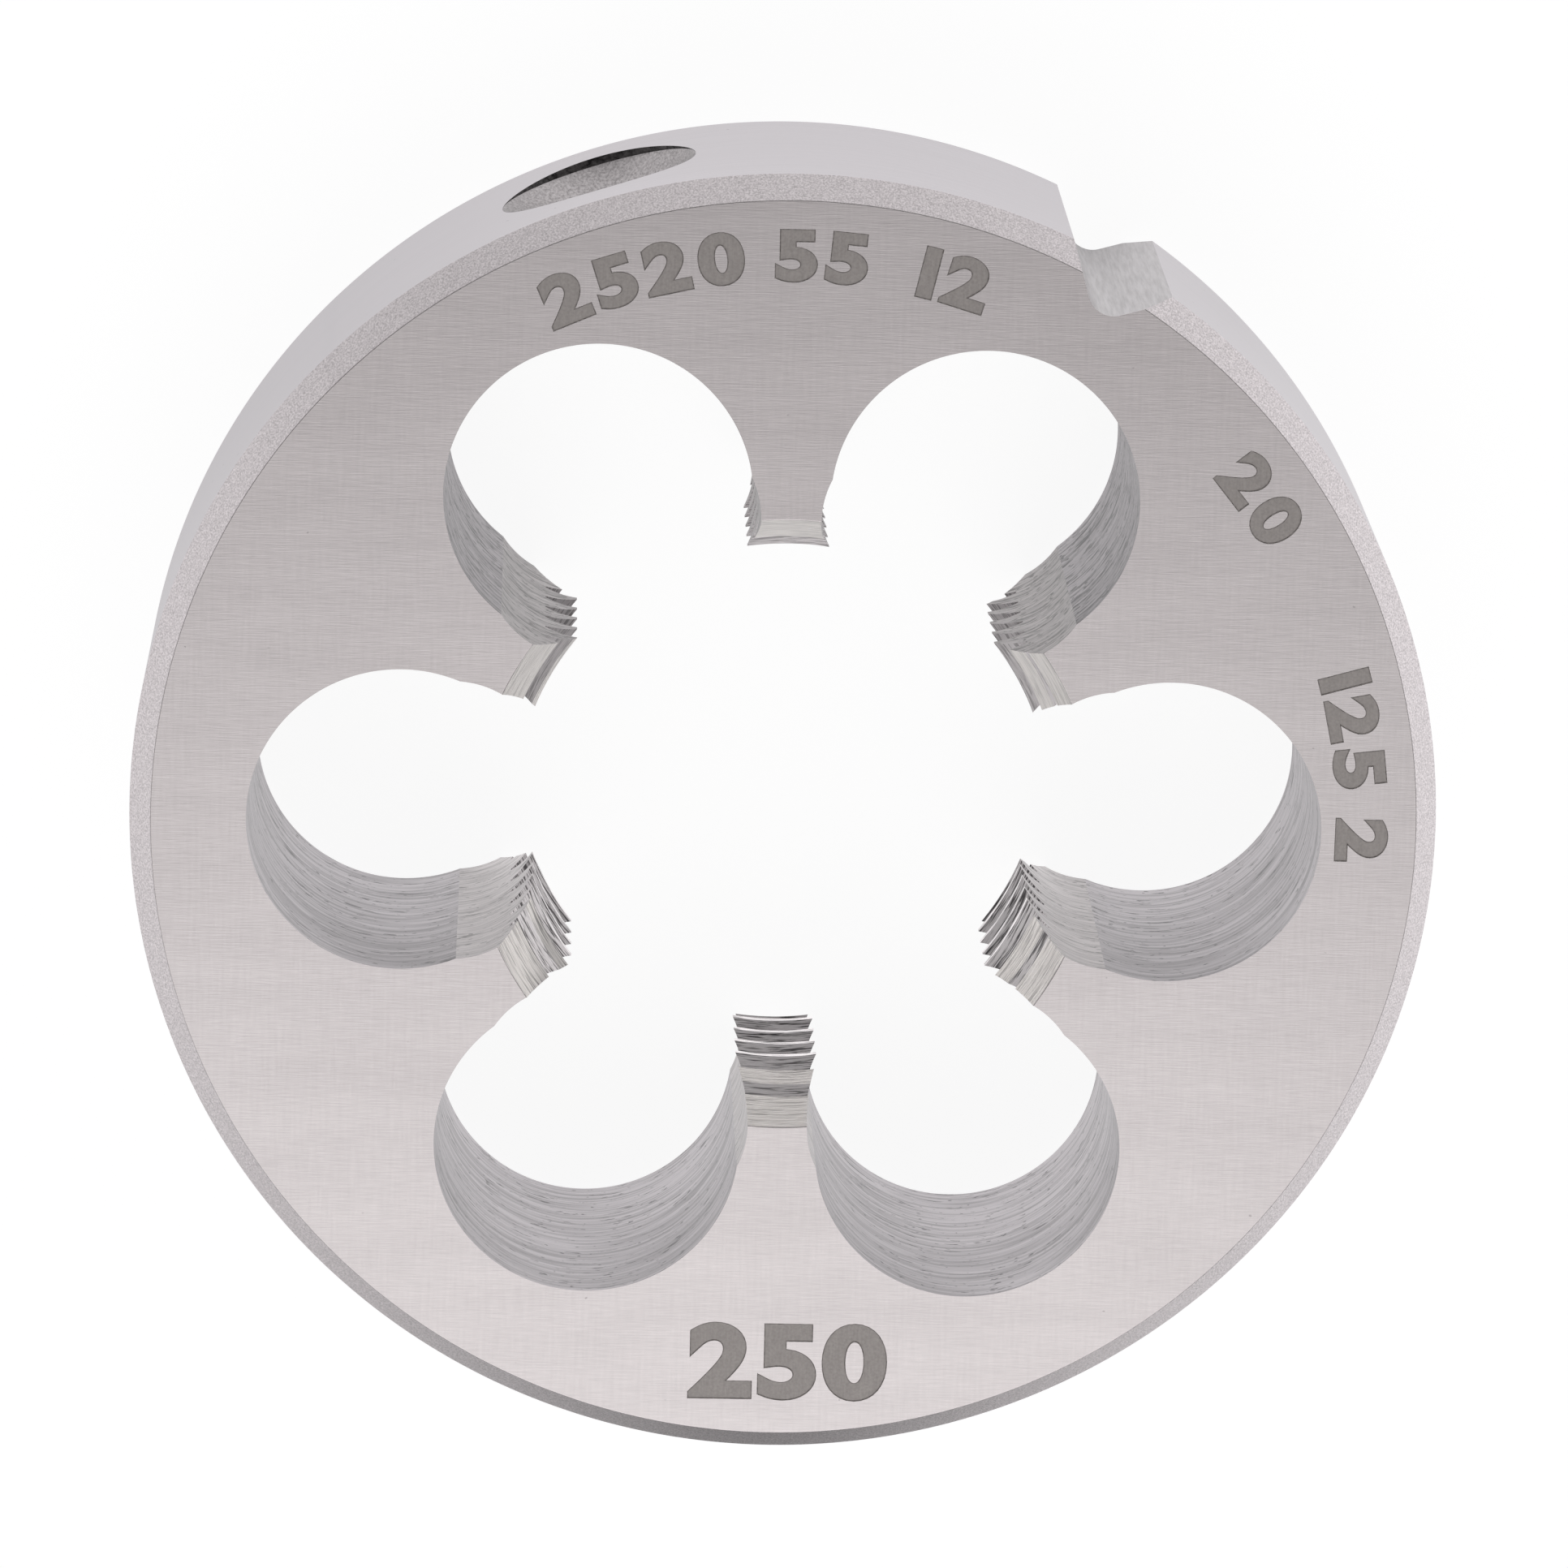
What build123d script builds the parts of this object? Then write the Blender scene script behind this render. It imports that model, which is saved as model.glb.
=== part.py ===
from build123d import *
import math
import os

# A closed round threading die. One disc of hardened tool steel, turned, drilled, threaded and ground
# from a single piece. It lies on its back face: +Z is the axis, and rises to the marked front face.
# The origin is the centre of the back face. Two of the six lands lie on the Y axis. Millimetres.

# Body
body_diameter = 55.0
body_thickness = 16.0
rim_chamfer_width = 0.93
rim_chamfer_depth = 1.2

# Cutting thread: right-hand, metric 60 degree form
thread_diameter = 25.0
thread_pitch = 2.0
thread_minor_diameter = 22.6
thread_root_clearance = 0.05
thread_flank_angle = 30.0
pitch_line_depth_per_sharp_height = 0.375
crest_height_at_first_land = 1.57
groove_sweep_angle = 54.0

# Lead-in cone at each face of the bore
lead_mouth_diameter = 26.2
lead_half_angle = 25.0

# Chip holes, and the lands between them
land_count = 6
first_land_bearing = 30.0
chip_hole_diameter = 12.9
chip_hole_reach = 1.625
land_neck_width = 2.5
land_neck_height = 1.755
flank_wheel_diameter = 8.0

# V notch in the rim, over a chip hole
notch_bearing = 60.3
notch_width = 4.8
notch_root_radius = 1.1
notch_angle = 90.0

# Conical seats for the holder's screws, one on each side of the notch
seat_bearing_from_notch = 47.3
seat_diameter = 8.5
seat_cone_angle = 90.0
seat_shoulder_depth = 0.34

# How far a cutting tool runs past the surface that it enters
overrun = 1.0
groove_mouth_overrun = 0.3

rim_radius = body_diameter / 2
face_radius = rim_radius - rim_chamfer_width
crest_radius = thread_minor_diameter / 2
root_radius = thread_diameter / 2 + thread_root_clearance
mouth_radius = lead_mouth_diameter / 2
lead_length = (mouth_radius - crest_radius) / math.tan(math.radians(lead_half_angle))
chip_hole_radius = chip_hole_diameter / 2
chip_hole_circle_radius = crest_radius - chip_hole_reach + chip_hole_radius
land_spacing = 360 / land_count
land_bearings = [first_land_bearing + land_spacing * land for land in range(land_count)]
mid_height = body_thickness / 2


def turned_blank():
    """The disc with its chamfered rim, its bore at the crest diameter and a lead-in cone at each face.

    The sweep starts and ends at the notch, so that its seam is cut away there.
    """
    section = Polyline(
        (mouth_radius, 0, 0),
        (face_radius, 0, 0),
        (rim_radius, 0, rim_chamfer_depth),
        (rim_radius, 0, body_thickness - rim_chamfer_depth),
        (face_radius, 0, body_thickness),
        (mouth_radius, 0, body_thickness),
        (crest_radius, 0, body_thickness - lead_length),
        (crest_radius, 0, lead_length),
        close=True,
    )
    return Rot(0, 0, notch_bearing) * revolve(make_face(section), axis=Axis.Z)


def through_cylinder(radius, distance, bearing):
    """A cylinder parallel to the axis, long enough to cut through both faces."""
    cutter = Cylinder(radius, body_thickness + 2 * overrun)
    return Rot(0, 0, bearing) * Pos(distance, 0, mid_height) * cutter


def chip_holes():
    """The drilled holes between the lands, which open into the bore."""
    half_step = land_spacing / 2
    return [
        through_cylinder(chip_hole_radius, chip_hole_circle_radius, bearing + half_step)
        for bearing in land_bearings
    ]


def land_flanks():
    """The hollow band that a small wheel grinds on both flanks of each land."""
    wheel_radius = flank_wheel_diameter / 2
    along_land = crest_radius + land_neck_height
    across_land = land_neck_width / 2 + wheel_radius
    distance = math.hypot(along_land, across_land)
    turn = math.degrees(math.atan2(across_land, along_land))
    return [
        through_cylinder(wheel_radius, distance, bearing + side * turn)
        for bearing in land_bearings
        for side in (-1, 1)
    ]


def groove_segment(sweep_angle):
    """One short run of the thread groove, centred on the X axis with its middle at height 0.

    Groove and tooth are equally wide at the pitch radius, where each is half a pitch.
    """
    slope = math.tan(math.radians(thread_flank_angle))
    sharp_height = thread_pitch / slope / 2
    pitch_radius = thread_diameter / 2 - pitch_line_depth_per_sharp_height * sharp_height
    pitch_half = thread_pitch / 2 / 2
    inner_radius = crest_radius - groove_mouth_overrun
    inner_half = pitch_half + (pitch_radius - inner_radius) * slope
    root_half = pitch_half - (root_radius - pitch_radius) * slope
    rise = thread_pitch * sweep_angle / 360

    def helix(radius, height):
        run = Helix(pitch=thread_pitch, height=rise, radius=radius)
        return Rot(0, 0, -sweep_angle / 2) * Pos(0, 0, height - rise / 2) * run

    edges = [
        helix(inner_radius, -inner_half),
        helix(root_radius, -root_half),
        helix(root_radius, root_half),
        helix(inner_radius, inner_half),
    ]
    walls = [Face.make_surface_from_curves(edges[i - 1].edge(), edges[i].edge()) for i in range(4)]
    ends = [
        make_face(Polyline(*[edge @ position for edge in edges], close=True)).face()
        for position in (0, 1)
    ]
    return Solid(Shell(walls + ends))


def thread_grooves():
    """Every groove of the thread on every land, each the first one moved along the right-hand screw."""
    segment = groove_segment(groove_sweep_angle)
    turns = int(body_thickness / thread_pitch) + 2
    grooves = []
    for land, bearing in enumerate(land_bearings):
        climb = crest_height_at_first_land + thread_pitch * (land / land_count - 0.5)
        for turn in range(-1, turns):
            grooves.append(Rot(0, 0, bearing) * Pos(0, 0, climb + turn * thread_pitch) * segment)
    return grooves


def rim_notch():
    """The V notch, cut along the whole rim, with a rounded root."""
    flank = math.radians(notch_angle / 2)
    slope = math.tan(flank)
    rim_distance = math.sqrt(rim_radius ** 2 - (notch_width / 2) ** 2)
    apex_distance = rim_distance - notch_width / 2 / slope
    arc_centre = apex_distance + notch_root_radius / math.sin(flank)
    tangent_distance = arc_centre - notch_root_radius * math.sin(flank)
    tangent_half = notch_root_radius * math.cos(flank)
    outer_distance = rim_radius + overrun
    outer_half = (outer_distance - apex_distance) * slope
    flanks = Polyline(
        (tangent_distance, -tangent_half),
        (outer_distance, -outer_half),
        (outer_distance, outer_half),
        (tangent_distance, tangent_half),
    )
    root = ThreePointArc(
        (tangent_distance, tangent_half),
        (arc_centre - notch_root_radius, 0),
        (tangent_distance, -tangent_half),
    )
    section = make_face(flanks.edges() + root.edges())
    cutter = extrude(Pos(0, 0, -overrun) * section, amount=body_thickness + 2 * overrun)
    return Rot(0, 0, notch_bearing) * cutter


def screw_seat(bearing):
    """A round seat drilled square to the rim: a short straight wall, then a cone."""
    seat_radius = seat_diameter / 2
    shoulder = rim_radius - seat_shoulder_depth
    tip = shoulder - seat_radius / math.tan(math.radians(seat_cone_angle / 2))
    section = Polyline(
        (tip, 0, 0),
        (shoulder, 0, seat_radius),
        (rim_radius + overrun, 0, seat_radius),
        (rim_radius + overrun, 0, 0),
        close=True,
    )
    cutter = revolve(make_face(section), axis=Axis.X)
    return Rot(0, 0, bearing) * Pos(0, 0, mid_height) * cutter


def die_body():
    """The finished die."""
    seats = [screw_seat(notch_bearing + side * seat_bearing_from_notch) for side in (-1, 1)]
    body = turned_blank() - chip_holes()
    body = body - land_flanks()
    body = body - [rim_notch(), *seats]
    body = body - thread_grooves()
    return body


os.makedirs("parts", exist_ok=True)
export_step(die_body(), "parts/die_body.step")
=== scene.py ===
# %% [markdown]
# # A round threading die
# The die is one disc of hardened tool steel. A shop turns the disc, drills six chip holes, cuts the
# thread on what is left between them, grinds the faces and marks the front. This lesson follows the
# shop: a blank is turned first, then each cutting tool is taken out of it with a Boolean, and each
# tool leaves its own finish behind, because a Boolean can carry the tool's material over.

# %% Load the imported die
import math

import bmesh
import bpy
from mathutils import Euler, Matrix, Vector


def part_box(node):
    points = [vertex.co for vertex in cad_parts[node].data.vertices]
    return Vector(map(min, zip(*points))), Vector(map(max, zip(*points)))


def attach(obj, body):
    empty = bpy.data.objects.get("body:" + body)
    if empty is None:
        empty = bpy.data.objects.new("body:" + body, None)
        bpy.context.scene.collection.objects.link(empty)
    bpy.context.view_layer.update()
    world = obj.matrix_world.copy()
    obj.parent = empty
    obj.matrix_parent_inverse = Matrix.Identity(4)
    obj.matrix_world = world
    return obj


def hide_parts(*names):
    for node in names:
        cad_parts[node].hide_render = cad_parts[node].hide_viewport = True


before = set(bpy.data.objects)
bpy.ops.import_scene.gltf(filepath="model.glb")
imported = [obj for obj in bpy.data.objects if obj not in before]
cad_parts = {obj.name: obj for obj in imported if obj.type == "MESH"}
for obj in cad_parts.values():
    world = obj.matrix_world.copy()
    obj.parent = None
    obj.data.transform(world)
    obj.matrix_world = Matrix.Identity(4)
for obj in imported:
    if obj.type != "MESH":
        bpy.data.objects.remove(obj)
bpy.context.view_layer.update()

# %% [markdown]
# ## The size of the disc
# Blender works in metres, but a die is drawn in millimetres, so every size below is in millimetres
# and the finished mesh is scaled once at the end. The diameter and the thickness are read from the
# loaded die. They could be typed in again, but then the two models might one day disagree.

# %% Diameter and thickness
MM = 0.001
die_low, die_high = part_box("die_body")
rim_radius = (die_high.x - die_low.x) / 2 / MM
thickness = (die_high.z - die_low.z) / MM
print(f"rim radius {rim_radius:.3f}, thickness {thickness:.3f}")

# %% [markdown]
# ## Steel finishes
# All of the die is the same steel, so one metallic shader serves everywhere. What differs is how each
# surface was cut: the lines, the grain and how rough they are. A painted texture could carry these
# marks, but it blurs close up and the mesh has to be unwrapped first. Nodes stay sharp at any distance.
# The helpers add one node and make the bare shader, so that each finish only has to add its own marks.

# %% Add one node
def add_node(tree, kind, values=None, **settings):
    """A shader node with its settings, and its sockets set or linked."""
    made = tree.nodes.new("ShaderNode" + kind)
    for name, value in settings.items():
        setattr(made, name, value)
    for socket, value in (values or {}).items():
        if isinstance(value, bpy.types.NodeSocket):
            tree.links.new(value, made.inputs[socket])
        else:
            made.inputs[socket].default_value = value
    return made


print("helper", add_node.__name__)

# %% Make bare steel
def bare_steel(name, colour, roughness):
    """A metal with one colour and roughness, and the place on the die in millimetres."""
    steel = bpy.data.materials.new(name)
    steel.use_nodes = True
    tree = steel.node_tree
    shader = tree.nodes["Principled BSDF"]
    shader.inputs["Base Color"].default_value = (*colour, 1)
    shader.inputs["Metallic"].default_value = 1.0
    shader.inputs["Roughness"].default_value = roughness
    place = add_node(tree, "TexCoord").outputs["Object"]
    in_mm = add_node(tree, "VectorMath", {0: place, "Scale": 1 / MM}, operation="SCALE")
    return steel, tree, shader, in_mm.outputs["Vector"]


print("helper", bare_steel.__name__, "with places in units of", MM, "m")

# %% [markdown]
# Cutting leaves lines. They could be cut into the mesh, but marks a hundredth of a millimetre deep would
# need millions of faces. Noise squeezed hard in one direction gives streaks in the other, so here a line
# is only noise with an uneven scale. The same value then drives a little bump and a little colour, since
# a real scratch both tilts the light and looks darker.

# %% Lines, height and colour
def streaks(tree, place, scale, detail=3.0, roughness=0.6, offset=(0, 0, 0), waver=0.0):
    """Noise stretched into lines. A small number in scale gives a long streak that way."""
    moved = add_node(tree, "Mapping", {"Vector": place, "Location": offset, "Scale": scale})
    values = {"Vector": moved.outputs[0], "Scale": 1.0, "Detail": detail, "Roughness": roughness}
    values["Distortion"] = waver
    return add_node(tree, "TexNoise", values).outputs["Fac"]


def blend_values(tree, first, second, operation="ADD"):
    """Two values added, or joined by another operation of the Math node."""
    return add_node(tree, "Math", {0: first, 1: second}, operation=operation).outputs[0]


def spread(tree, value, low, high, to_low=0.0, to_high=1.0):
    """A value stretched from one range to another, and clipped there."""
    values = {"Value": value, "From Min": low, "From Max": high, "To Min": to_low, "To Max": to_high}
    return add_node(tree, "MapRange", values).outputs["Result"]


def raise_surface(tree, shader, height, microns):
    """Bump from a height, whose range of 0 to 1 stands for so many thousandths of a millimetre."""
    bump = add_node(tree, "Bump", {"Height": height, "Distance": microns * 1e-6, "Strength": 1.0})
    tree.links.new(bump.outputs["Normal"], shader.inputs["Normal"])


def tint(tree, shader, factor, dark, light):
    """The steel's colour runs from dark to light with the factor."""
    mix = add_node(tree, "Mix", {"Factor": factor}, data_type="RGBA")
    mix.inputs[6].default_value = (*dark, 1)
    mix.inputs[7].default_value = (*light, 1)
    tree.links.new(mix.outputs[2], shader.inputs["Base Color"])


print("helpers", streaks.__name__, spread.__name__, raise_surface.__name__, tint.__name__)

# %% [markdown]
# Turned surfaces and the thread carry lines that run round the axis. The mesh could be unwrapped for them,
# but after many Booleans that would be hard work. Instead the place on the die is rewritten: the bearing
# counts slowly and the radius and height count fast, so noise read there stretches along the cut.

# %% Lines that run round the axis
def round_the_axis(tree, place, around, across):
    """The place rewritten with a slow share of the bearing and a fast one of radius and height."""
    parts = add_node(tree, "SeparateXYZ", {0: place}).outputs
    flat = add_node(tree, "CombineXYZ", {0: parts["X"], 1: parts["Y"]}).outputs[0]
    bearing = add_node(tree, "VectorMath", {0: flat}, operation="NORMALIZE").outputs["Vector"]
    radius = add_node(tree, "VectorMath", {0: flat}, operation="LENGTH").outputs["Value"]
    slow = add_node(tree, "VectorMath", {0: bearing, "Scale": around}, operation="SCALE").outputs["Vector"]
    slow_parts = add_node(tree, "SeparateXYZ", {0: slow}).outputs
    fast = blend_values(tree, blend_values(tree, radius, parts["Z"]), across, "MULTIPLY")
    return add_node(tree, "CombineXYZ", {0: slow_parts["X"], 1: slow_parts["Y"], 2: fast}).outputs[0]


print("helper", round_the_axis.__name__)

# %% [markdown]
# ### Ground faces
# A surface grinder leaves fine straight lines, all one way. A wave texture would draw them like a ruler,
# and noise of a single size looks like cloth, so two sizes of line are added up. A faint crossing grain,
# slow clouds and a few specks keep the face from looking new.

# %% Ground face
def ground_face_steel():
    """Fine straight lines along X."""
    steel, tree, shader, place = bare_steel("ground_face", (0.562, 0.522, 0.524), 0.22)
    fine = streaks(tree, place, (0.9, 16.0, 1.0), detail=2.0)
    broad = streaks(tree, place, (0.12, 2.2, 1.0), detail=4.0)
    height = blend_values(tree, fine, blend_values(tree, broad, 0.8, "MULTIPLY"))
    raise_surface(tree, shader, height, 1.2)
    cloud = streaks(tree, place, (0.10, 0.5, 0.12))
    cross = streaks(tree, place, (7.0, 0.5, 1.0), offset=(6, 3, 0))
    fine_share = blend_values(tree, fine, 0.40, "MULTIPLY")
    patch = blend_values(tree, fine_share, blend_values(tree, cloud, 0.35, "MULTIPLY"))
    patch = blend_values(tree, patch, blend_values(tree, cross, 0.25, "MULTIPLY"))
    dots = streaks(tree, place, (2.6, 3.4, 1.0), detail=1.0, offset=(5, 8, 1))
    specks = spread(tree, dots, 0.17, 0.20)
    lightness = blend_values(tree, spread(tree, patch, 0.35, 0.65, 0.55, 1.0), specks, "MULTIPLY")
    tint(tree, shader, lightness, (0.42, 0.39, 0.392), (0.606, 0.564, 0.566))
    return steel


finish = {"face": ground_face_steel()}
print("face nodes", len(finish["face"].node_tree.nodes))

# %% [markdown]
# ### The bevel
# The bevels at the rim are left as they came from heat treatment and blasting, so they are grainy where
# the faces are lined. A Voronoi texture would look hammered. Fine noise, as small in every direction,
# gives the grain, light and dark enough to sparkle.

# %% Grainy bevel
def grainy_bevel_steel():
    """Even fine grain."""
    steel, tree, shader, place = bare_steel("grainy_bevel", (0.57, 0.535, 0.545), 0.40)
    grain = streaks(tree, place, (13.0, 13.0, 13.0), detail=2.0)
    raise_surface(tree, shader, grain, 9.0)
    tint(tree, shader, spread(tree, grain, 0.30, 0.68), (0.42, 0.392, 0.40), (0.72, 0.673, 0.687))
    return steel


finish["bevel"] = grainy_bevel_steel()
print("bevel nodes", len(finish["bevel"].node_tree.nodes))

# %% [markdown]
# ### The rim
# The rim is ground round between centres. It is the smoothest surface, a soft satin with lines so fine
# that they hardly show, and a few specks where it has been knocked. An anisotropic shader would stretch
# its highlights too, but streaks that are short only along Z do so and also show as lines close up.

# %% Turned rim
def turned_rim_steel():
    """Very fine lines round the rim, and a few specks."""
    steel, tree, shader, place = bare_steel("turned_rim", (0.60, 0.56, 0.592), 0.30)
    lines = streaks(tree, place, (0.08, 0.08, 9.0))
    raise_surface(tree, shader, lines, 1.0)
    dots = streaks(tree, place, (2.4, 2.4, 2.4), detail=1.0, offset=(2, 2, 7))
    specks = spread(tree, dots, 0.18, 0.21)
    lightness = blend_values(tree, spread(tree, lines, 0.3, 0.7, 0.86, 1.0), specks, "MULTIPLY")
    tint(tree, shader, lightness, (0.30, 0.28, 0.296), (0.63, 0.588, 0.622))
    return steel


finish["rim"] = turned_rim_steel()
print("rim nodes", len(finish["rim"].node_tree.nodes))

# %% [markdown]
# ### Scores and pits
# Every cut wall of the die has short dark scores where a chip dragged, and pits where the steel tore.
# They could be painted one by one. Streaks between two narrow limits scatter them all at once, with a
# crisp edge, and the lower limit sets how many there are. Towards positive Y, on the notch side, the limit
# is reached more often, so there are more of them there.

# %% Scores and pits
def scores_and_pits(tree, place, offset):
    """1 on clean steel, 0 at the bottom of a score or a pit."""
    scores = streaks(tree, place, (0.55, 0.55, 3.6), roughness=0.7, offset=offset, waver=0.4)
    pits = streaks(tree, place, (2.4, 2.4, 4.5), detail=1.5, offset=offset, waver=0.3)
    along_y = add_node(tree, "SeparateXYZ", {0: place}).outputs["Y"]
    more_marks_by_y = spread(tree, along_y, 1.0, 6.0, 0.0, 0.055)
    clean_score = spread(tree, blend_values(tree, scores, more_marks_by_y, "SUBTRACT"), 0.355, 0.385)
    clean_pit = spread(tree, blend_values(tree, pits, more_marks_by_y, "SUBTRACT"), 0.30, 0.33)
    return blend_values(tree, clean_score, clean_pit, "MINIMUM")


print("helper", scores_and_pits.__name__)

# %% [markdown]
# ### Drilled walls
# A drill leaves long soft lines round the hole. Light is painted into the wall's colour: it is lighter
# towards the back face and towards positive Y. The lines are only thousandths of a millimetre deep, so
# bump carries them and the wall stays a plain cylinder.

# %% Drilled wall
def drilled_steel():
    """Long soft lines round the hole, with scores and pits, and painted light."""
    steel, tree, shader, place = bare_steel("drilled_wall", (0.55, 0.515, 0.54), 0.34)
    rings = streaks(tree, place, (0.15, 0.15, 5.0), detail=5.0, roughness=0.75)
    raise_surface(tree, shader, rings, 12.0)
    shade = streaks(tree, place, (0.15, 0.15, 3.2), detail=5.0, offset=(3, 1, 4))
    soft = spread(tree, shade, 0.35, 0.62, 0.45, 1.0)
    parts = add_node(tree, "SeparateXYZ", {0: place}).outputs
    # Painted light: lighter towards the back face, and towards positive Y.
    soft = blend_values(tree, soft, spread(tree, parts["Z"], 2.0, 15.0, 1.12, 0.88), "MULTIPLY")
    soft = blend_values(tree, soft, spread(tree, parts["Y"], 3.0, 9.0, 1.0, 1.14), "MULTIPLY")
    marks = spread(tree, scores_and_pits(tree, place, (8, 5, 2)), 0.0, 1.0, 0.22, 1.0)
    factor = blend_values(tree, soft, marks, "MULTIPLY")
    tint(tree, shader, factor, (0.10, 0.093, 0.098), (0.66, 0.62, 0.645))
    return steel


finish["hole"] = drilled_steel()
print("hole nodes", len(finish["hole"].node_tree.nodes))

# %% [markdown]
# ### Ground bands beside the lands
# A small wheel grinds a hollow band on both flanks of each land to sharpen it. It is the same steel as
# the drilled wall, but a finish of its own shows where one tool stopped and the other began. The band is
# a little lighter and warmer, and its lines are shorter.

# %% Wheel-ground band
def wheel_ground_steel():
    """Short lines round the wheel's path, with scores and pits."""
    steel, tree, shader, place = bare_steel("wheel_ground_band", (0.58, 0.55, 0.56), 0.30)
    lines = streaks(tree, place, (0.35, 0.35, 4.5), detail=5.0, roughness=0.7)
    raise_surface(tree, shader, lines, 12.0)
    marks = spread(tree, scores_and_pits(tree, place, (4, 4, 9)), 0.0, 1.0, 0.2, 1.0)
    factor = blend_values(tree, spread(tree, lines, 0.36, 0.60, 0.45, 1.0), marks, "MULTIPLY")
    tint(tree, shader, factor, (0.15, 0.138, 0.138), (0.69, 0.645, 0.65))
    return steel


finish["band"] = wheel_ground_steel()
print("band nodes", len(finish["band"].node_tree.nodes))

# %% [markdown]
# ### The lead-in cone
# Each end of the bore opens in a cone, turned before the thread was cut. Its lines run round the axis,
# short and torn. Light and shade are painted into its colour: painted light on the lands at negative Y,
# where the lines also get more contrast, and painted shade at one corner. Vertex colours could carry
# this, but the place on the die is known to the nodes already, so the tint follows X and Y and the mesh
# needs no extra data.

# %% Lead-in cone
def lead_in_steel():
    """Torn lines round the axis, with painted light towards negative Y and painted shade at one corner."""
    steel, tree, shader, place = bare_steel("lead_in_cone", (0.66, 0.64, 0.63), 0.46)
    round_place = round_the_axis(tree, place, 6.0, 7.5)
    turned = streaks(tree, round_place, (1, 1, 1), detail=2.5, waver=0.5)
    raise_surface(tree, shader, turned, 34.0)
    parts = add_node(tree, "SeparateXYZ", {0: place}).outputs
    # Painted light: the colour is lighter towards negative Y.
    painted_light_by_y = spread(tree, parts["Y"], 3.0, -8.0, 0.54, 1.0)
    # Painted shade: darker at one corner, with X between -9.9 and -6 and Y below -3.
    corner = spread(tree, parts["X"], -10.9, -9.9, 1.0, 0.2)
    corner = blend_values(tree, corner, spread(tree, parts["X"], -8.0, -6.0), "MAXIMUM")
    corner = blend_values(tree, corner, spread(tree, parts["Y"], -3.0, 0.0), "MAXIMUM")
    # Painted light: the lines get more contrast towards negative Y.
    contrast = spread(tree, parts["Y"], 2.0, -3.0, 0.3, 0.7)
    lines = blend_values(tree, spread(tree, turned, 0.40, 0.52, -0.6, 0.4), contrast, "MULTIPLY")
    level = blend_values(tree, painted_light_by_y, corner, "MULTIPLY")
    factor = blend_values(tree, level, lines)
    tint(tree, shader, factor, (0.36, 0.345, 0.34), (1.0, 0.96, 0.93))
    return steel


finish["cone"] = lead_in_steel()
print("cone nodes", len(finish["cone"].node_tree.nodes))

# %% [markdown]
# ### Thread flanks
# A tap drags along the thread and tears it into short bright and dark lines, stronger than on any other
# surface. They are made as on the cone, only finer and closer. Light is painted in too: the lines get
# less contrast at positive Y, and the flanks get painted light near the front face and towards
# negative Y.

# %% Thread flank
def thread_steel():
    """Bright and dark lines along the thread, with painted light near the front face and towards negative
    Y.
    """
    steel, tree, shader, place = bare_steel("thread_flank", (0.60, 0.57, 0.58), 0.36)
    round_place = round_the_axis(tree, place, 8.0, 10.0)
    cut = streaks(tree, round_place, (1, 1, 1), detail=2.5, waver=0.5)
    raise_surface(tree, shader, cut, 16.0)
    parts = add_node(tree, "SeparateXYZ", {0: place}).outputs
    # Painted light: the lines get more contrast towards negative Y.
    contrast = spread(tree, parts["Y"], 2.0, -3.0, 0.4, 1.0)
    # Painted light: lighter near the front face, and lighter again towards negative Y.
    painted_light_near_front = spread(tree, parts["Z"], 9.0, 14.0, 0.50, 0.80)
    level = blend_values(tree, painted_light_near_front, spread(tree, parts["Y"], -7.0, -11.0, 0.0, 0.15))
    lines = blend_values(tree, spread(tree, cut, 0.40, 0.52, -0.65, 0.35), contrast, "MULTIPLY")
    factor = blend_values(tree, level, lines)
    tint(tree, shader, factor, (0.13, 0.122, 0.125), (0.98, 0.93, 0.94))
    return steel


finish["thread"] = thread_steel()
print("thread nodes", len(finish["thread"].node_tree.nodes))

# %% [markdown]
# ### The notch
# The V notch is milled up and down the rim, so its lines stand upright. The same streaks do for this,
# with the small number of their scale in Z.

# %% Milled notch
def notch_steel():
    """Upright lines."""
    steel, tree, shader, place = bare_steel("milled_notch", (0.53, 0.505, 0.52), 0.30)
    lines = streaks(tree, place, (7.0, 7.0, 0.5))
    raise_surface(tree, shader, lines, 3.0)
    tint(tree, shader, spread(tree, lines, 0.30, 0.65), (0.42, 0.395, 0.405), (0.58, 0.55, 0.565))
    return steel


finish["notch"] = notch_steel()
print("notch nodes", len(finish["notch"].node_tree.nodes))

# %% [markdown]
# ### The screw seats
# The cones of the screw seats are drilled rough and stay dull, with a coarser grain than the bevels. The
# short straight wall at the mouth is in shade, so it gets painted shade: a material of its own that is
# almost black.

# %% Screw seat and its wall
def seat_steel():
    """A dull grain."""
    steel, tree, shader, place = bare_steel("screw_seat", (0.47, 0.445, 0.455), 0.38)
    grain = streaks(tree, place, (9.0, 9.0, 9.0), roughness=0.7)
    raise_surface(tree, shader, grain, 7.0)
    tint(tree, shader, spread(tree, grain, 0.32, 0.62), (0.28, 0.262, 0.265), (0.52, 0.49, 0.498))
    return steel


def painted_shade_seat_wall_steel():
    """Nearly black, as painted shade."""
    # Painted shade: the short wall at the seat's mouth is coloured almost black.
    steel, tree, shader, place = bare_steel("seat_wall_painted_shade", (0.10, 0.095, 0.095), 0.5)
    grain = streaks(tree, place, (4.0, 4.0, 4.0))
    raise_surface(tree, shader, grain, 9.0)
    tint(tree, shader, spread(tree, grain, 0.35, 0.65), (0.04, 0.038, 0.038), (0.20, 0.19, 0.19))
    return steel


finish["seat"], finish["seat wall"] = seat_steel(), painted_shade_seat_wall_steel()
print("finishes so far", sorted(finish))

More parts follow.
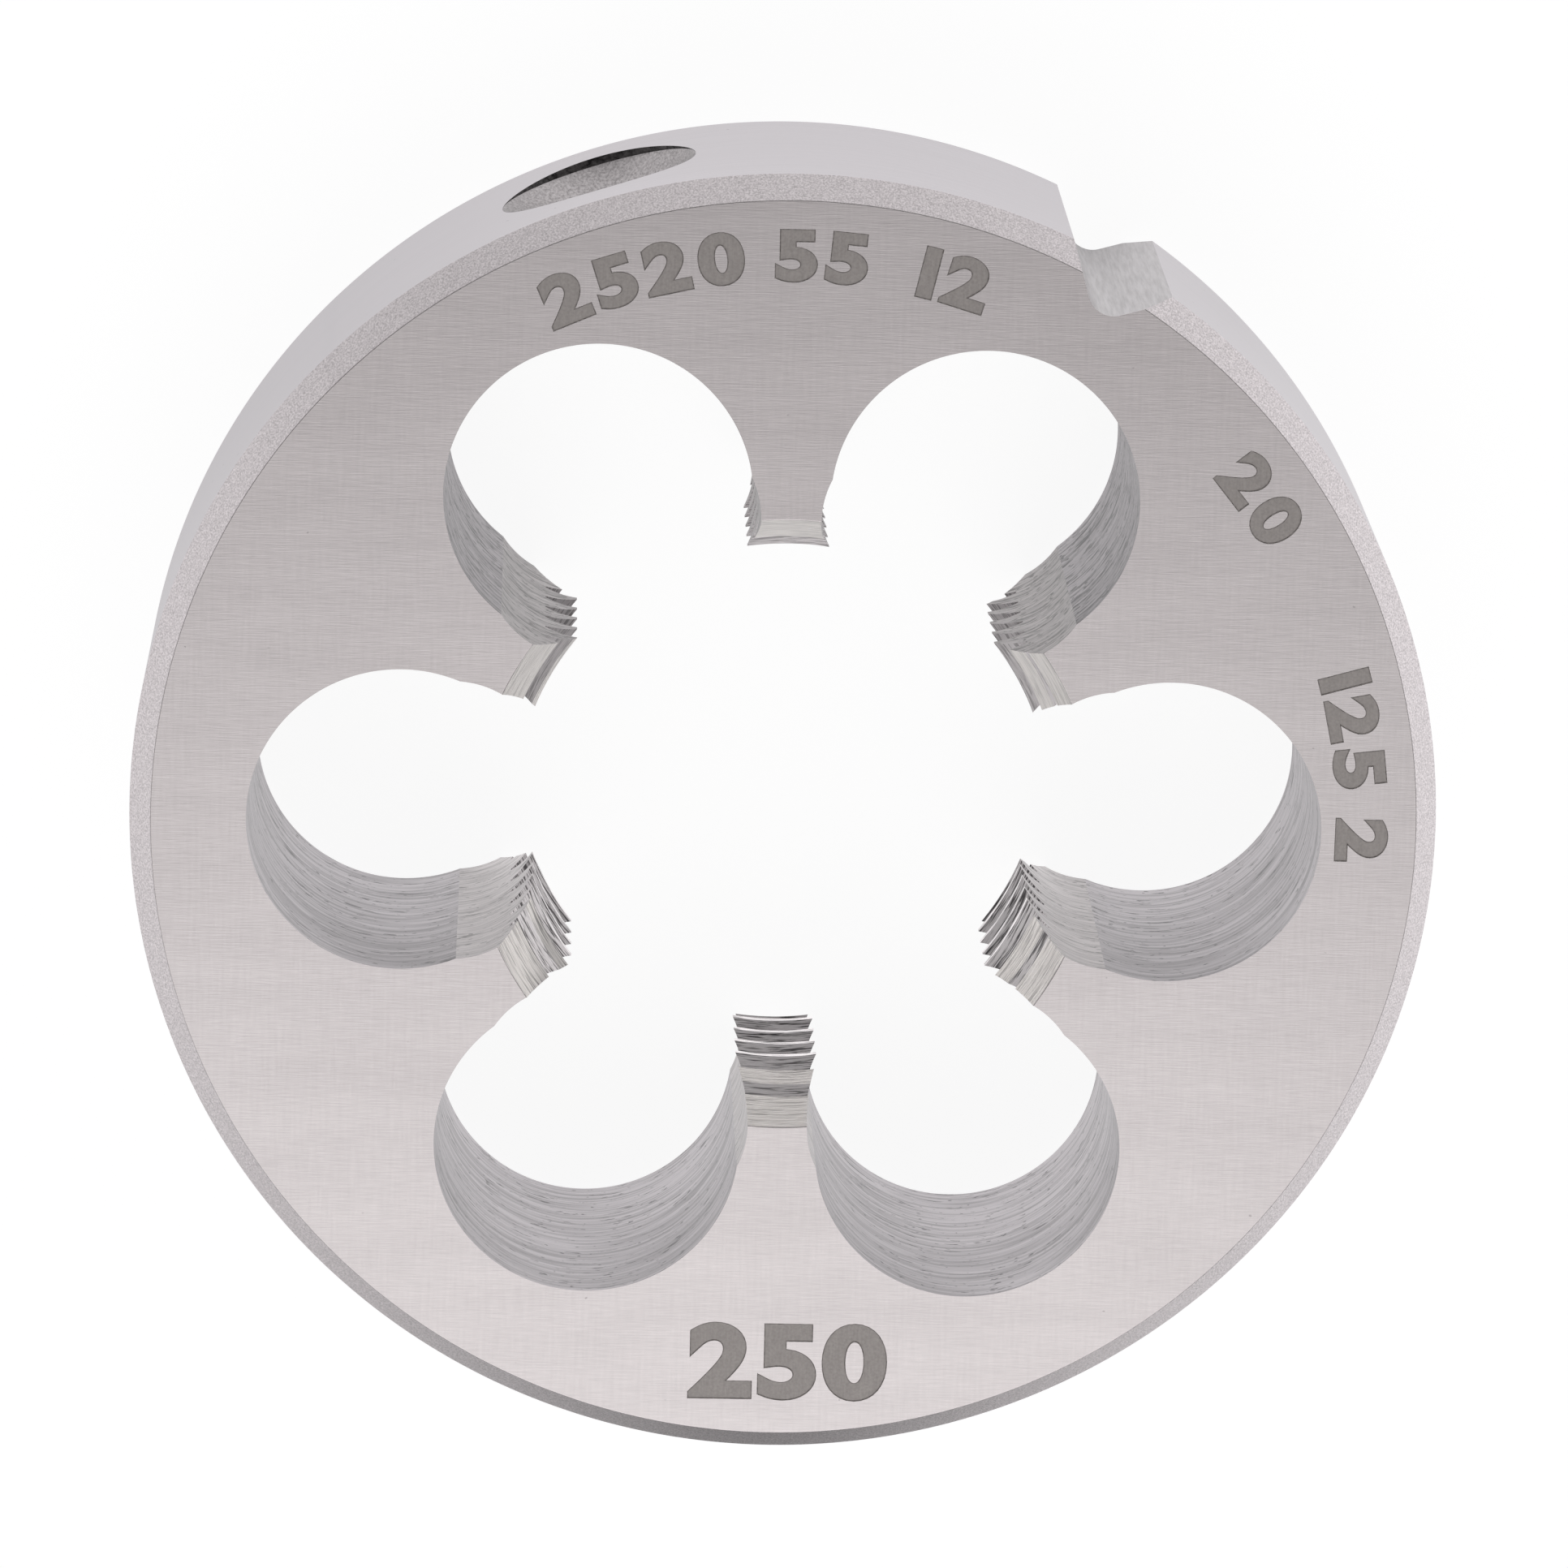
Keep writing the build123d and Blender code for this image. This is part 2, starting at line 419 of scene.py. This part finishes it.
# %% [markdown]
# ### Etched marks
# The front carries numbers etched by a current through a stencil. A painted mask is the usual way to show
# such marks, but figures cut as shapes keep their edges at any distance. Etching leaves a dull grey floor
# and a slightly burnt edge, so a mark needs two finishes.

# %% Etched floor and burnt edge
def etched_steel():
    """A dull grey floor with a trace of the grinding lines."""
    steel, tree, shader, place = bare_steel("etched_mark", (0.40, 0.368, 0.355), 0.5)
    grain = streaks(tree, place, (9.0, 9.0, 9.0))
    raise_surface(tree, shader, grain, 4.0)
    lines = streaks(tree, place, (9.0, 1.0, 1.0), detail=2.0)
    grain_share = spread(tree, grain, 0.3, 0.7, 0.0, 0.6)
    factor = blend_values(tree, grain_share, spread(tree, lines, 0.3, 0.7, 0.0, 0.4))
    tint(tree, shader, factor, (0.33, 0.304, 0.293), (0.45, 0.414, 0.40))
    return steel


def burnt_edge_steel():
    """A brown-black line round a mark."""
    steel, tree, shader, place = bare_steel("etched_edge", (0.20, 0.18, 0.172), 0.55)
    grain = streaks(tree, place, (6.0, 6.0, 6.0))
    raise_surface(tree, shader, grain, 3.0)
    tint(tree, shader, spread(tree, grain, 0.3, 0.7), (0.13, 0.118, 0.112), (0.36, 0.33, 0.32))
    return steel


finish["mark"], finish["mark edge"] = etched_steel(), burnt_edge_steel()
print("finishes", sorted(finish))

# %% [markdown]
# ## The turned blank
# A lathe makes any shape that is the same all the way round. A cylinder with bevelled edges would do for
# the rim, but not for the bore and its cones. So the outline is drawn once as radius and height, and is
# swept round the axis. Every sharp corner gets a tiny round, as a shop breaks its edges, because a
# perfectly sharp edge never catches the light.

# %% Round the corners of an outline
def break_corner(before, corner, after, radius, steps):
    """The points of a small arc in place of a corner."""
    before, corner, after = Vector(before), Vector(corner), Vector(after)
    to_before, to_after = (before - corner).normalized(), (after - corner).normalized()
    half = to_before.angle(to_after) / 2
    cut_back = radius / math.tan(half)
    centre = corner + (to_before + to_after).normalized() * (radius / math.sin(half))
    start, end = corner + to_before * cut_back - centre, corner + to_after * cut_back - centre
    sweep = math.pi - 2 * half
    arc = []
    for step in range(steps + 1):
        share = step / steps
        first = math.sin((1 - share) * sweep) / math.sin(sweep)
        last = math.sin(share * sweep) / math.sin(sweep)
        arc.append(centre + start * first + end * last)
    return arc


edge_break, edge_facets = 0.05, 4
sample_arc = break_corner((1, 0), (0, 0), (0, 1), edge_break, edge_facets)
print("a square corner becomes", len(sample_arc), "points")

# %% Make a piece from a bmesh
def new_piece(name, build, materials):
    """A Blender object from a bmesh, with its materials."""
    mesh = bpy.data.meshes.new(name)
    bmesh.ops.recalc_face_normals(build, faces=build.faces[:])
    build.to_mesh(mesh)
    build.free()
    for material in materials:
        mesh.materials.append(material)
    piece = bpy.data.objects.new(name, mesh)
    bpy.context.scene.collection.objects.link(piece)
    return piece


# %% Sweep an outline round the axis
def turn_ring(name, corners, finishes, steps):
    """A ring swept from corners, each a radius and a height. A finish runs from its corner to the next."""
    outline, surface = [], []
    for i in range(len(corners)):
        following = corners[(i + 1) % len(corners)]
        outline += break_corner(corners[i - 1], corners[i], following, edge_break, edge_facets)
        before = edge_facets // 2
        surface += [finishes[i - 1]] * before + [finishes[i]] * (edge_facets + 1 - before)
    build = bmesh.new()
    rings = []
    for step in range(steps):
        a = 2 * math.pi * step / steps
        rings.append([build.verts.new((p.x * math.cos(a), p.x * math.sin(a), p.y)) for p in outline])
    names = sorted(set(finishes))
    for step in range(steps):
        here, there = rings[step], rings[(step + 1) % steps]
        for i in range(len(outline)):
            j = (i + 1) % len(outline)
            face = build.faces.new((here[i], there[i], there[j], here[j]))
            face.material_index = names.index(surface[i])
    return new_piece(name, build, [finish[n] for n in names])


print("helper", turn_ring.__name__)

# %% Turn the blank
bevel_width, bevel_depth = 0.93, 1.2
face_radius = rim_radius - bevel_width
crest_radius, cone_mouth_radius, cone_half_angle = 11.3, 13.1, 25
cone_length = (cone_mouth_radius - crest_radius) / math.tan(math.radians(cone_half_angle))

blank_corners = [
    (cone_mouth_radius, 0),
    (face_radius, 0),
    (rim_radius, bevel_depth),
    (rim_radius, thickness - bevel_depth),
    (face_radius, thickness),
    (cone_mouth_radius, thickness),
    (crest_radius, thickness - cone_length),
    (crest_radius, cone_length),
]
blank_finishes = ["face", "bevel", "rim", "bevel", "face", "cone", "thread", "cone"]
blank_facets = 512
die = turn_ring("threading_die", blank_corners, blank_finishes, blank_facets)
print("blank", len(die.data.vertices), "points")

# %% [markdown]
# ## The cutting tools
# Chip holes are round, the flank wheels are round and the notch is a V, so each of them is a flat
# outline pushed straight through the disc. The whole front could be one outline instead, but cutting in
# the shop's order lets each tool leave its own finish. The Boolean is set to TRANSFER for that, which
# gives each cut face the material of its tool.

# %% A straight tool
overrun = 1.0


def straight_tool(name, outline, material):
    """A flat outline made into a bar that runs past both faces."""
    build = bmesh.new()
    low = [build.verts.new((x, y, -overrun)) for x, y in outline]
    high = [build.verts.new((x, y, thickness + overrun)) for x, y in outline]
    build.faces.new(low)
    build.faces.new(high)
    for i in range(len(outline)):
        j = (i + 1) % len(outline)
        build.faces.new((low[i], low[j], high[j], high[i]))
    return new_piece(name, build, [material])


print(f"a tool is {thickness + 2 * overrun:.1f} mm long")

# %% Take a tool out of the die
def take_out(body, tool, folded=False):
    """Cuts the tool out of the body and throws it away. A folded tool may cross itself."""
    cut = body.modifiers.new("cut", "BOOLEAN")
    cut.operation, cut.solver, cut.material_mode = "DIFFERENCE", "EXACT", "TRANSFER"
    cut.use_self = folded
    cut.object = tool
    evaluated = body.evaluated_get(bpy.context.evaluated_depsgraph_get())
    cut_mesh = bpy.data.meshes.new_from_object(evaluated)
    body.modifiers.remove(cut)
    old_mesh, tool_mesh = body.data, tool.data
    body.data = cut_mesh
    bpy.data.meshes.remove(old_mesh)
    bpy.data.objects.remove(tool)
    bpy.data.meshes.remove(tool_mesh)


print("helper", take_out.__name__)

# %% Places and circles
def at_bearing(distance, bearing):
    """The point at a distance from the axis, in a direction in degrees from +X."""
    turn = math.radians(bearing)
    return Vector((distance * math.cos(turn), distance * math.sin(turn)))


def circle(centre, radius, steps):
    """Points round a circle."""
    return [centre + at_bearing(radius, 360 * step / steps) for step in range(steps)]


print("the point 10 mm out at 90 degrees is", tuple(round(v, 3) for v in at_bearing(10, 90)))

# %% [markdown]
# ### Chip holes
# Six holes break into the bore. They give the cutting edges their shape and let the chips out. Each hole
# sits half way between two lands. Blender's own cylinder could be the drill, but one made from its
# outline keeps the size and the place in two readable numbers.

# %% Drill the chip holes
land_count, first_land_bearing = 6, 30
land_spacing = 360 / land_count
land_bearings = [first_land_bearing + land_spacing * land for land in range(land_count)]
hole_radius, hole_reach, hole_facets = 6.45, 1.625, 192
hole_circle_radius = crest_radius - hole_reach + hole_radius
for bearing in land_bearings:
    hole_centre = at_bearing(hole_circle_radius, bearing + land_spacing / 2)
    take_out(die, straight_tool("drill", circle(hole_centre, hole_radius, hole_facets), finish["hole"]))
print("after drilling", len(die.data.vertices), "points")

# %% [markdown]
# ### Land flanks
# A small wheel on each side narrows the land to a neck, which makes the cutting edge keen. The holes
# could simply be larger, but then the lands would lose the hollow that shows where the wheel went. Its
# centre is found from the neck's half width and its height above the crests.

# %% Grind the flanks of each land
wheel_radius, wheel_facets = 4.0, 160
neck_half_width, neck_height = 1.25, 1.755
along, across = crest_radius + neck_height, neck_half_width + wheel_radius
wheel_distance, wheel_turn = math.hypot(along, across), math.degrees(math.atan2(across, along))
for bearing in land_bearings:
    for side in (-1, 1):
        centre = at_bearing(wheel_distance, bearing + side * wheel_turn)
        wheel_outline = circle(centre, wheel_radius, wheel_facets)
        take_out(die, straight_tool("flank_wheel", wheel_outline, finish["band"]))
print("after grinding the flanks", len(die.data.vertices), "points")

# %% [markdown]
# ### The notch
# The pointed middle screw of the holder sits in this V. A cube stood on its edge would cut a V with a
# sharp root. The real cutter's tip is round, so the root is rounded with the helper that also broke the
# edges of the blank.

# %% Mill the notch
notch_bearing, notch_half_width = 60.3, 2.4
notch_root_radius, notch_root_facets = 1.1, 40
apex = math.sqrt(rim_radius**2 - notch_half_width**2) - notch_half_width
outer = rim_radius + overrun
left, right = (outer, outer - apex), (outer, -(outer - apex))
root = break_corner(left, (apex, 0), right, notch_root_radius, notch_root_facets)
turned_vee = [
    at_bearing(math.hypot(x, y), notch_bearing + math.degrees(math.atan2(y, x)))
    for x, y in [right, left] + [tuple(p) for p in root]
]
take_out(die, straight_tool("notch_cutter", turned_vee, finish["notch"]))
print("after the notch", len(die.data.vertices), "points")

# %% [markdown]
# ### Screw seats
# Two more screws of the holder press on the rim, one on each side of the notch. Each seat is a short
# cylinder and then a cone, pointing at the axis. Two of Blender's own shapes could be joined for it, but
# one closed mesh is a cleaner tool for the Boolean, and its faces can hold two finishes.

# %% A seat drill
seat_from_notch = 47.3
seat_bearings = (notch_bearing - seat_from_notch, notch_bearing + seat_from_notch)
seat_radius, seat_shoulder, seat_facets = 4.25, 0.34, 128


def seat_drill(bearing):
    """A short cylinder with a cone in front, lying along a bearing at half height."""
    shoulder = rim_radius - seat_shoulder
    build = bmesh.new()
    tip = build.verts.new((shoulder - seat_radius, 0, 0))
    rings = []
    for x in (shoulder, rim_radius + overrun):
        ring = []
        for step in range(seat_facets):
            a = 2 * math.pi * step / seat_facets
            ring.append(build.verts.new((x, seat_radius * math.cos(a), seat_radius * math.sin(a))))
        rings.append(ring)
    for i in range(seat_facets):
        j = (i + 1) % seat_facets
        build.faces.new((tip, rings[0][i], rings[0][j]))
        wall = build.faces.new((rings[0][i], rings[1][i], rings[1][j], rings[0][j]))
        # The short wall takes the second finish, the painted shade.
        wall.material_index = 1
    build.faces.new(rings[1])
    at_half_height = Matrix.Translation((0, 0, thickness / 2))
    build.transform(at_half_height @ Matrix.Rotation(math.radians(bearing), 4, "Z"))
    return new_piece("seat_drill", build, [finish["seat"], finish["seat wall"]])


print("seats at", seat_bearings)

# %% Drill the screw seats
for bearing in seat_bearings:
    take_out(die, seat_drill(bearing))
print("after the seats", len(die.data.vertices), "points")

# %% [markdown]
# ### The thread
# The thread is one groove, carried up a right-hand screw through all six lands at once, as a tap would
# cut it. Bump alone would do for a very fine thread, but these teeth show in the outline, so they are
# cut. A Screw modifier could sweep the groove too. Rings of points keep its pitch and its starting height
# exact. Groove and tooth are equally wide at the pitch radius.

# %% The tap
nominal_radius, thread_root_clearance, groove_mouth_overrun = 12.5, 0.05, 0.3
pitch, pitch_line_share, thread_facets = 2.0, 0.375, 144
groove_height_at_first_land, thread_flank_angle = 0.57, 30
groove_height_at_x_axis = groove_height_at_first_land - pitch * first_land_bearing / 360
flank_slope = math.tan(math.radians(thread_flank_angle))


def thread_tap():
    """The groove's section carried up a right-hand screw."""
    pitch_radius = nominal_radius - pitch_line_share * pitch / 2 / flank_slope
    inner, root = crest_radius - groove_mouth_overrun, nominal_radius + thread_root_clearance
    inner_half = pitch / 4 + (pitch_radius - inner) * flank_slope
    root_half = pitch / 4 - (root - pitch_radius) * flank_slope
    section = [(inner, -inner_half), (root, -root_half), (root, root_half), (inner, inner_half)]
    first_turn = math.floor((-inner_half - groove_height_at_x_axis) / pitch)
    last_turn = math.ceil((thickness + inner_half - groove_height_at_x_axis) / pitch)
    build = bmesh.new()
    rings = []
    for step in range(first_turn * thread_facets, last_turn * thread_facets + 1):
        a = 2 * math.pi * step / thread_facets
        climb = groove_height_at_x_axis + pitch * step / thread_facets
        rings.append([build.verts.new((r * math.cos(a), r * math.sin(a), climb + h)) for r, h in section])
    for here, there in zip(rings, rings[1:]):
        for i in range(len(section)):
            j = (i + 1) % len(section)
            build.faces.new((here[i], there[i], there[j], here[j]))
    build.faces.new(rings[0])
    build.faces.new(rings[-1])
    return new_piece("tap", build, [finish["thread"]])


print(f"groove height on the X axis {groove_height_at_x_axis:.3f}")

# %% Cut the thread
take_out(die, thread_tap())
print("after the tap", len(die.data.vertices), "points")

# %% [markdown]
# ## Numbers on the front
# The numbers are plain ones. They could lie on the face as thin text, but real marks are sunk. So each
# figure comes from Blender's own font as a solid, to be cut out like any other tool. A bold figure can
# cross itself in its corners, and the Boolean is told so.

# %% Figures as thin solids
figure_weight, half_figure_depth = 0.040, 1.0


def figure_mesh(character, size, grow=0.0):
    """One character of the built-in font as a solid standing on its baseline, fatter by grow."""
    outline = bpy.data.curves.new("figure", "FONT")
    outline.body, outline.size = character, size
    outline.offset, outline.extrude = size * figure_weight + grow, half_figure_depth
    outline.resolution_u = 8
    holder = bpy.data.objects.new("figure", outline)
    bpy.context.scene.collection.objects.link(holder)
    evaluated = holder.evaluated_get(bpy.context.evaluated_depsgraph_get())
    solid = bpy.data.meshes.new_from_object(evaluated)
    bpy.data.objects.remove(holder)
    bpy.data.curves.remove(outline)
    return solid


def reach(mesh, axis):
    """The lowest and the highest place of a mesh along one axis."""
    values = [v.co[axis] for v in mesh.vertices]
    return min(values), max(values)


low_y, high_y = reach(figure_mesh("1", 1.0), 1)
size_per_height = 1 / (high_y - low_y)
print(f"a figure 1 mm tall needs size {size_per_height:.3f}")

# %% Set the figures in a row
space_share = 0.25


def place_figures(etching, text, height, gap, width_share, grow, pose):
    """Adds a row of figures, centred on x = 0, each moved to where pose puts its middle."""
    solids, widths = [], []
    for character in text:
        if character == " ":
            solids.append(None)
            widths.append(space_share * height)
            continue
        solid = figure_mesh(character, height * size_per_height, grow)
        left, right = reach(solid, 0)
        centred = Matrix.Translation((-(left + right) / 2, 0, 0))
        solid.transform(Matrix.Diagonal((width_share, 1, 1, 1)) @ centred)
        solids.append(solid)
        widths.append((right - left - 2 * grow) * width_share)
    total = sum(widths) + gap * (len(text) - 1)
    x = -total / 2
    for solid, width in zip(solids, widths):
        if solid:
            solid.transform(pose(x + width / 2))
            etching.from_mesh(solid)
            bpy.data.meshes.remove(solid)
        x += width + gap
    return total


print("helper", place_figures.__name__)

# %% Rows on an arc and on a line
def on_arc(middle_bearing, radius):
    """Figures whose feet stand on a circle, read clockwise."""
    def pose(x):
        bearing = middle_bearing - math.degrees(x / radius)
        return Matrix.Rotation(math.radians(bearing - 90), 4, "Z") @ Matrix.Translation((0, radius, 0))

    return pose


def on_line(x_middle, y):
    """Figures whose feet stand on a straight line."""
    return lambda x: Matrix.Translation((x_middle + x, y, 0))


print("helpers", on_arc.__name__, on_line.__name__)

# %% [markdown]
# The burnt edge could be a dark rim in one material, but the nodes don't know where an outline runs. So
# etching is done twice: a slightly fatter and shallower figure leaves the burnt edge, then the figure
# itself goes deeper inside it.

# %% Etch the numbers
baseline, small, large, weld_within = 23.3, 2.15, 3.3, 0.001
for name, grow, depth in (("mark edge", 0.035, 0.012), ("mark", 0.0, 0.03)):
    etching = bmesh.new()
    lengths = [
        place_figures(etching, "2520 55", small, 0.34, 1.28, grow, on_arc(99.3, baseline)),
        place_figures(etching, "12", small, 0.34, 1.28, grow, on_arc(74.3, baseline)),
        place_figures(etching, "20", small, 0.30, 1.2, grow, on_arc(36.2, baseline)),
        place_figures(etching, "125 2", small, 0.36, 1.25, grow, on_arc(7.0, baseline)),
        place_figures(etching, "250", large, 0.3, 1.2, grow, on_line(0.67, -24.9)),
    ]
    etching.transform(Matrix.Translation((0, 0, thickness + half_figure_depth - depth)))
    bmesh.ops.remove_doubles(etching, verts=etching.verts[:], dist=weld_within)
    take_out(die, new_piece("etching", etching, [finish[name]]), folded=True)
print("lengths of the five groups", [round(v, 2) for v in lengths])
print("after etching", len(die.data.vertices), "points")

# %% [markdown]
# ## Finishing
# Many Booleans in a row leave crumbs: points that nearly meet, and now and then a facet that is dropped.
# The crumbs are dissolved, because they spoil the shading around them, and a missing facet is filled in,
# with the finish of its neighbour. A shop would stone off its burrs in the same way.

# %% Clean up after the Booleans
crumb = 0.0005
cleaned = bmesh.new()
cleaned.from_mesh(die.data)
bmesh.ops.dissolve_degenerate(cleaned, edges=cleaned.edges[:], dist=crumb)
open_edges = [edge for edge in cleaned.edges if edge.is_boundary]
print("open edges before filling", len(open_edges))
for face in bmesh.ops.holes_fill(cleaned, edges=open_edges, sides=4)["faces"]:
    beside = [other for edge in face.edges for other in edge.link_faces if other is not face]
    face.material_index = beside[0].material_index
cleaned.normal_update()
print("open edges after filling", sum(edge.is_boundary for edge in cleaned.edges))

# %% [markdown]
# The two flat faces stay flat shaded, and the curved surfaces are smoothed, except across an edge of more
# than 3 degrees. A modifier could do this as well. Written into the mesh, it also holds in the exported
# model. Last, the millimetres become metres.

# %% Smooth the curved surfaces
level_within, sharp_from = 0.001, 3
for face in cleaned.faces:
    heights = [v.co.z for v in face.verts]
    face.smooth = max(heights) - min(heights) > level_within
cleaned.to_mesh(die.data)
cleaned.free()
die.data.transform(Matrix.Scale(MM, 4))
die.data.set_sharp_from_angle(angle=math.radians(sharp_from))
print("finished mesh", len(die.data.polygons), "faces")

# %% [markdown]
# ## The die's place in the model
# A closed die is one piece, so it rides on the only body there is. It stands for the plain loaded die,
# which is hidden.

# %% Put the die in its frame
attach(die, "root")
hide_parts("die_body")

# %% [markdown]
# ## Camera
# The camera looks down on the front from a little beyond the top of the die. A short lens close by would
# make the near side of the disc look too large. A long lens from further away keeps it round.

# %% Camera
camera_data = bpy.data.cameras.new("camera")
camera_data.lens = 213.4
camera_data.sensor_width = 36
camera_data.clip_start = 0.01
camera = bpy.data.objects.new("camera", camera_data)
camera.location = (-0.010888, 0.090611, 0.395195)
camera.rotation_euler = Euler([math.radians(angle) for angle in (-13.2086, -1.3289, 1.3119)])
bpy.context.scene.collection.objects.link(camera)
bpy.context.scene.camera = camera
print("camera", tuple(camera.location))

# %% [markdown]
# ## Floor
# The floor is white paper. Strong lamps could make it white, but they would also bleach the steel. So the
# paper is partly lit and partly glows, only for rays that the camera or the steel sends out: it looks
# white but keeps a soft shadow.

# %% Paper
floor_build = bmesh.new()
bmesh.ops.create_grid(floor_build, x_segments=1, y_segments=1, size=1.5)
paper = bpy.data.materials.new("pale_paper")
paper.use_nodes = True
paper_tree = paper.node_tree
paper_tree.nodes.remove(paper_tree.nodes["Principled BSDF"])
matt = add_node(paper_tree, "BsdfDiffuse", {"Color": (0.9, 0.9, 0.9, 1)})
path = add_node(paper_tree, "LightPath").outputs
on_paper = add_node(paper_tree, "TexCoord").outputs["Object"]
paper_parts = add_node(paper_tree, "SeparateXYZ", {0: on_paper}).outputs
paper_x, paper_y = paper_parts["X"], paper_parts["Y"]
paper_radius = add_node(paper_tree, "VectorMath", {0: on_paper}, operation="LENGTH").outputs["Value"]
sideways = add_node(paper_tree, "Math", {0: paper_x}, operation="ABSOLUTE").outputs[0]
slanted_y = blend_values(paper_tree, paper_y, blend_values(paper_tree, sideways, 0.35, "MULTIPLY"))
print("paper nodes", len(paper_tree.nodes))

# %% [markdown]
# Steel shows what surrounds it. In a real studio the paper in and around the die is in shade, and past
# its front edge it ends. The glow that the steel sees is therefore lower under the die and towards the
# front. It depends on the place on the paper alone, so it stays put when the camera moves.

# %% Shade on the paper, as the steel sees it
in_front = spread(paper_tree, slanted_y, -0.053, -0.041, 0.0, 1.05)
behind = spread(paper_tree, paper_y, 0.05, 0.13, 1.0, 0.7)
outside = spread(paper_tree, paper_radius, 0.031, 0.055, 0.69, 1.0)
front_to_back = blend_values(paper_tree, in_front, behind, "MULTIPLY")
outside = blend_values(paper_tree, outside, front_to_back, "MULTIPLY")
leftwards = spread(paper_tree, paper_x, -0.025, -0.010, 0.87, 1.0)
outside = blend_values(paper_tree, outside, leftwards, "MULTIPLY")
in_holes = spread(paper_tree, paper_y, -0.008, 0.011, 0.68, 0.48)
near_axis = spread(paper_tree, paper_radius, 0.0115, 0.0145, 1.0, 0.0)
low_in_bore = spread(paper_tree, paper_y, 0.003, 0.008, 1.0, 0.0)
in_bore = blend_values(paper_tree, near_axis, low_in_bore, "MULTIPLY")
print("paper nodes", len(paper_tree.nodes))

# %% Join the shades
def blend_levels(share, first, second):
    """One brightness turning into another as the share goes from 0 to 1."""
    return add_node(paper_tree, "Mix", {0: share, 2: first, 3: second}, data_type="FLOAT").outputs[0]


bore_level, reflected_level, white_level = 0.95, 1.45, 1.14
inside = blend_levels(in_bore, in_holes, bore_level)
reflected = blend_levels(spread(paper_tree, paper_radius, 0.025, 0.028), inside, outside)
reflected = blend_values(paper_tree, reflected, reflected_level, "MULTIPLY")
strength = blend_levels(path["Is Camera Ray"], reflected, white_level)
print("paper nodes", len(paper_tree.nodes))

# %% [markdown]
# The paper lies a hair below the die, since two faces at one height flicker. It could hide the die from
# below, but it is clear when looked at from there, so that the back face can be seen.

# %% Glow and floor
glow = add_node(paper_tree, "Emission", {"Color": (1, 1, 1, 1), "Strength": strength})
seen = blend_values(paper_tree, path["Is Glossy Ray"], path["Is Transmission Ray"], "MAXIMUM")
seen = blend_values(paper_tree, path["Is Camera Ray"], seen, "MAXIMUM")
mostly = blend_values(paper_tree, seen, 0.8, "MULTIPLY")
both = add_node(paper_tree, "MixShader", {0: mostly, 1: matt.outputs[0], 2: glow.outputs[0]})
clear = add_node(paper_tree, "BsdfTransparent")
backfacing = add_node(paper_tree, "NewGeometry").outputs["Backfacing"]
from_below = blend_values(paper_tree, path["Is Camera Ray"], backfacing, "MULTIPLY")
two_sided = add_node(paper_tree, "MixShader", {0: from_below, 1: both.outputs[0], 2: clear.outputs[0]})
paper_tree.links.new(two_sided.outputs[0], paper_tree.nodes["Material Output"].inputs["Surface"])
floor = new_piece("floor", floor_build, [paper])
hair = 0.02
floor.location.z = -hair * MM
print("floor", floor.name)

# %% [markdown]
# ## Light
# Area lamps would show as bright rectangles in the steel, so the world is the only light. A large soft
# light stands over the front, weaker ones to the sides and behind, and a pale band lies round the
# horizon. The steel looks dark where it sees the space between them, which is what makes it look like
# steel.

# %% World
world = bpy.data.worlds.new("studio")
bpy.context.scene.world = world
world.use_nodes = True
sky = world.node_tree
background = sky.nodes["Background"]
background.inputs["Color"].default_value = (1, 1, 1, 1)
sky_path = add_node(sky, "LightPath").outputs
towards = add_node(sky, "TexCoord").outputs["Generated"]
print("world", world.name)

# %% Soft light from one direction
def lobe(direction, near_edge, far_edge, strength):
    """Soft light that comes from one direction. The edges are angles from it, in degrees."""
    aim = Vector(direction).normalized()
    dot = add_node(sky, "VectorMath", {0: towards, 1: tuple(aim)}, operation="DOT_PRODUCT").outputs["Value"]
    far, near = math.cos(math.radians(far_edge)), math.cos(math.radians(near_edge))
    edges = {"Value": dot, "From Min": far, "From Max": near}
    ramp = add_node(sky, "MapRange", edges, interpolation_type="SMOOTHSTEP")
    return blend_values(sky, ramp.outputs["Result"], strength, "MULTIPLY")


print("helper", lobe.__name__)

# %% Add up the light
level_everywhere, white = 0.24, 1.0
total = level_everywhere
upwards = add_node(sky, "SeparateXYZ", {0: towards}).outputs["Z"]
for part in [
    lobe((0, -0.60, 0.80), 19, 31, 1.3),
    lobe((1, 0.3, 0.12), 25, 48, 0.62),
    lobe((-1, -0.1, 0.12), 25, 48, 0.45),
    lobe((0.1, 1, 0.05), 20, 42, 0.25),
    spread(sky, upwards, 0.38, 0.12, 0.0, 0.40),
]:
    total = blend_values(sky, total, part)
level = add_node(sky, "Mix", {0: sky_path["Is Camera Ray"], 2: total, 3: white}, data_type="FLOAT")
sky.links.new(level.outputs[0], background.inputs["Strength"])

bpy.context.scene.view_settings.view_transform = "Standard"
print("sky nodes", len(sky.nodes))
